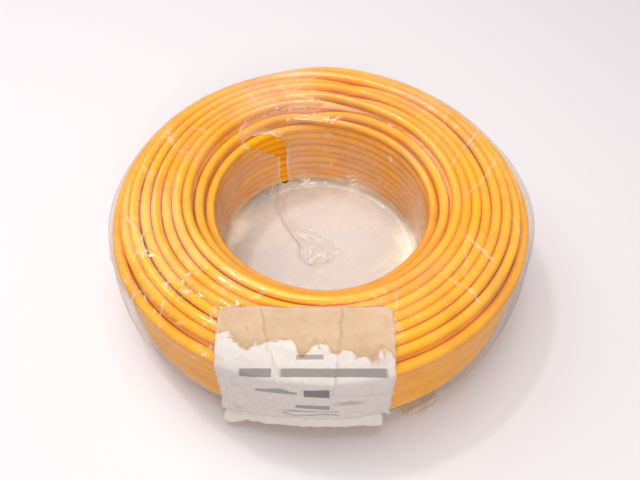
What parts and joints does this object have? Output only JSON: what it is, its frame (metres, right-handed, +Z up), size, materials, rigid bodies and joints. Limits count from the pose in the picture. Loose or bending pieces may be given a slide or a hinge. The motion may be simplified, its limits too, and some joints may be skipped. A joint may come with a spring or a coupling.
{
  "type": "cable coil",
  "caption": "Spool-less coil of insulated single-core cable in clear shrink film, with a paper label over its front shoulder.",
  "frame": {"origin": "on the coil's axis, at the surface that the coil lies on", "axes": "+Z up along the coil's axis, -Y towards the label, +X to the right as the label is read"},
  "size_m": [0.193, 0.1951, 0.055],
  "materials": {
    "cable_jacket": "satin orange PVC",
    "copper_strand": "bare copper",
    "shrink_film": "clear wrinkled film",
    "label_paper": "stained and creased paper"
  },
  "bodies": {
    "root": {"winding_layer_01": "cable_jacket", "winding_layer_02": "cable_jacket", "winding_layer_03": "cable_jacket", "winding_layer_04": "cable_jacket", "winding_layer_05": "cable_jacket", "winding_layer_06": "cable_jacket", "winding_layer_07": "cable_jacket", "winding_layer_08": "cable_jacket", "winding_layer_09": "cable_jacket", "winding_layer_10": "cable_jacket", "cable_inner_end": "cable_jacket", "cable_outer_end": "cable_jacket", "conductor_inner_end": "copper_strand", "conductor_outer_end": "copper_strand", "film_upper": "shrink_film", "film_base": "shrink_film", "film_bowl": "shrink_film", "label": "label_paper"},
    "label_edge": {"label_lip": "label_paper"},
    "torn_tongue": {"film_tongue": "shrink_film"},
    "seam_tab": {"film_seam_tab": "shrink_film"}
  },
  "joints": [
    {"name": "label_edge_lift", "type": "hinge", "parent": "root", "child": "label_edge", "pos_m": [-0.006, -0.0967, 0.0183], "axis": [-1, 0, 0], "range_deg": [0, 70]},
    {"name": "torn_tongue_lift", "type": "hinge", "parent": "root", "child": "torn_tongue", "pos_m": [-0.0206, 0.03925, 0.00165], "axis": [-0.9545, -0.2983, 0], "range_deg": [0, 80]},
    {"name": "seam_tab_lift", "type": "hinge", "parent": "root", "child": "seam_tab", "pos_m": [0.04202, -0.07902, 0.00017], "axis": [-0.8829, -0.4695, 0], "range_deg": [0, 30]}
  ]
}
